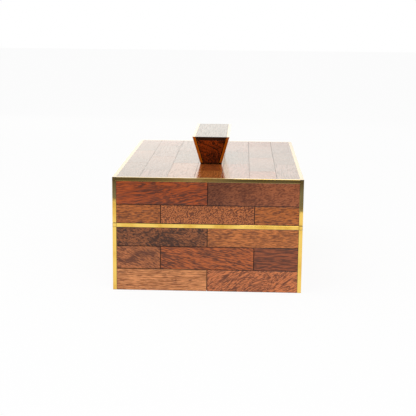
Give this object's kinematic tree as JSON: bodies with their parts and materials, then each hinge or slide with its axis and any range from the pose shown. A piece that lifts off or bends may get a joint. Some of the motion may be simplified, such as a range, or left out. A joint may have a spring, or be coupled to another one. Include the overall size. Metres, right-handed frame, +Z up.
{
  "type": "parquetry box",
  "caption": "Rectangular lidded box faced with staggered dark wood fingers, brass bars along its edges, and a flared wood and brass handle on its lift-off lid.",
  "frame": {"origin": "centre of the underside, where the box stands on a table", "axes": "+Z up, +X across the short front to the right, +Y along the box away from the front"},
  "size_m": [0.2, 0.3, 0.1542],
  "materials": {
    "finger_wood": "varnished",
    "handle_wood": "varnished",
    "brass": "satin polished",
    "screw_brass": "plain turned",
    "liner_wood": "waxed",
    "panel_wood": "waxed",
    "carcass_wood": "waxed"
  },
  "bodies": {
    "base": {"base_back_row_1": "finger_wood", "base_back_row_2": "finger_wood", "base_back_row_3": "finger_wood", "base_back_wall": "carcass_wood", "base_corner_bars": "brass", "base_floor": "panel_wood", "base_front_row_1": "finger_wood", "base_front_row_2": "finger_wood", "base_front_row_3": "finger_wood", "base_front_wall": "carcass_wood", "base_left_row_1": "finger_wood", "base_left_row_2": "finger_wood", "base_left_row_3": "finger_wood", "base_left_wall": "carcass_wood", "base_right_row_1": "finger_wood", "base_right_row_2": "finger_wood", "base_right_row_3": "finger_wood", "base_right_wall": "carcass_wood", "liner_back": "liner_wood", "liner_front": "liner_wood", "liner_left": "liner_wood", "liner_right": "liner_wood", "rim_bar_back": "brass", "rim_bar_front": "brass", "rim_bar_left": "brass", "rim_bar_right": "brass"},
    "lid": {"handle_block": "handle_wood", "handle_cap": "handle_wood", "handle_plate_left": "brass", "handle_plate_right": "brass", "handle_screws": "screw_brass", "lid_back_row_1": "finger_wood", "lid_back_row_2": "finger_wood", "lid_back_wall": "carcass_wood", "lid_corner_bars": "brass", "lid_edge_bar_back": "brass", "lid_edge_bar_front": "brass", "lid_edge_bar_left": "brass", "lid_edge_bar_right": "brass", "lid_front_row_1": "finger_wood", "lid_front_row_2": "finger_wood", "lid_front_wall": "carcass_wood", "lid_left_row_1": "finger_wood", "lid_left_row_2": "finger_wood", "lid_left_wall": "carcass_wood", "lid_panel": "panel_wood", "lid_right_row_1": "finger_wood", "lid_right_row_2": "finger_wood", "lid_right_wall": "carcass_wood", "lid_top_strip_1": "finger_wood", "lid_top_strip_2": "finger_wood", "lid_top_strip_3": "finger_wood", "lid_top_strip_4": "finger_wood", "lid_top_strip_5": "finger_wood", "lid_top_strip_6": "finger_wood", "lid_top_strip_7": "finger_wood"}
  },
  "joints": [
    {"name": "lid_lift", "type": "slide", "parent": "base", "child": "lid", "axis": [0, 0, 1], "range_m": [0, 0.12]}
  ]
}
